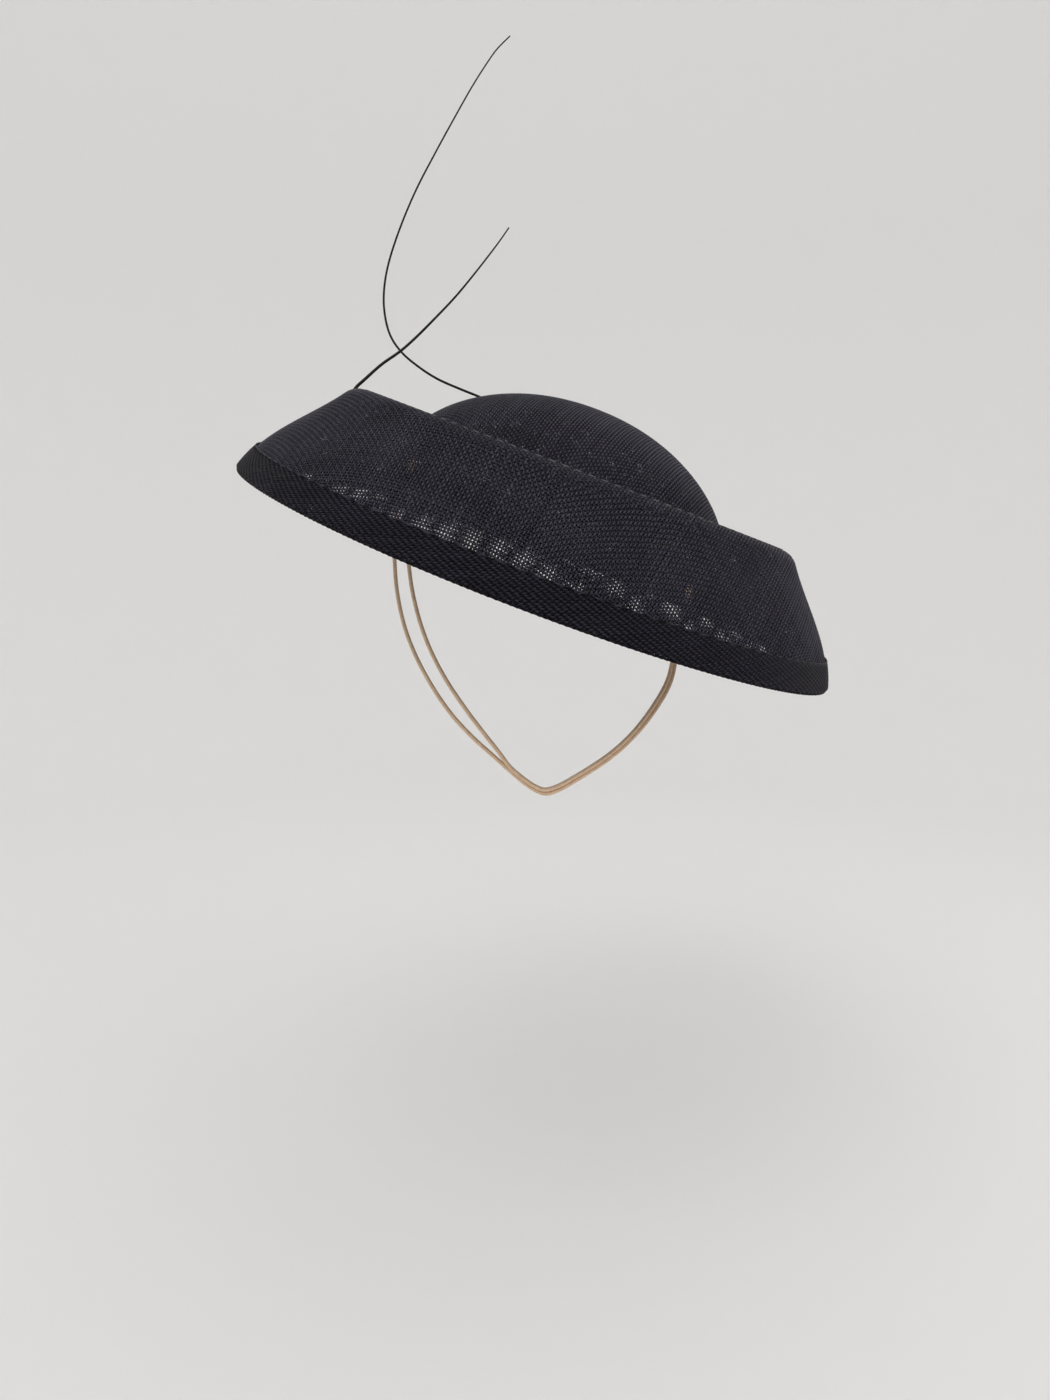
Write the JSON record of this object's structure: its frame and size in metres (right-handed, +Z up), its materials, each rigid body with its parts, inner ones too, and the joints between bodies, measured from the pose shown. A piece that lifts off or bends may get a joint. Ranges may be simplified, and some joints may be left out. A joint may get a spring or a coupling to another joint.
{
  "type": "fascinator",
  "caption": "Wide mushroom-brimmed hat in stiff open-weave straw: rolled crest, steep skirt with a bias-bound hem, low round crown, curved quills and a doubled elastic chin loop",
  "frame": {"origin": "head_seat: the middle of the head opening at the foot of the crown, where the hat sits on a head. The hat is tilted about this point as it is worn, its right side up and its front down", "axes": "+Z is up through the wearer's head, -Y the wearer's front and +X the wearer's left"},
  "size_m": [0.3562, 0.3671, 0.4839],
  "materials": {
    "straw": "stiffened open weave of flat straw threads, matt with a slight sheen",
    "binding": "dense folded bias strip of the same weave, matt",
    "quill": "stripped feather spine, smooth and slightly glossy",
    "elastic": "round elastic with a tan thread cover, matt"
  },
  "bodies": {
    "root": {"crown": "straw", "brim": "straw", "brim_binding": "binding", "quill_long": "quill", "quill_short": "quill", "elastic_outer": "elastic", "elastic_inner": "elastic"}
  },
  "joints": []
}
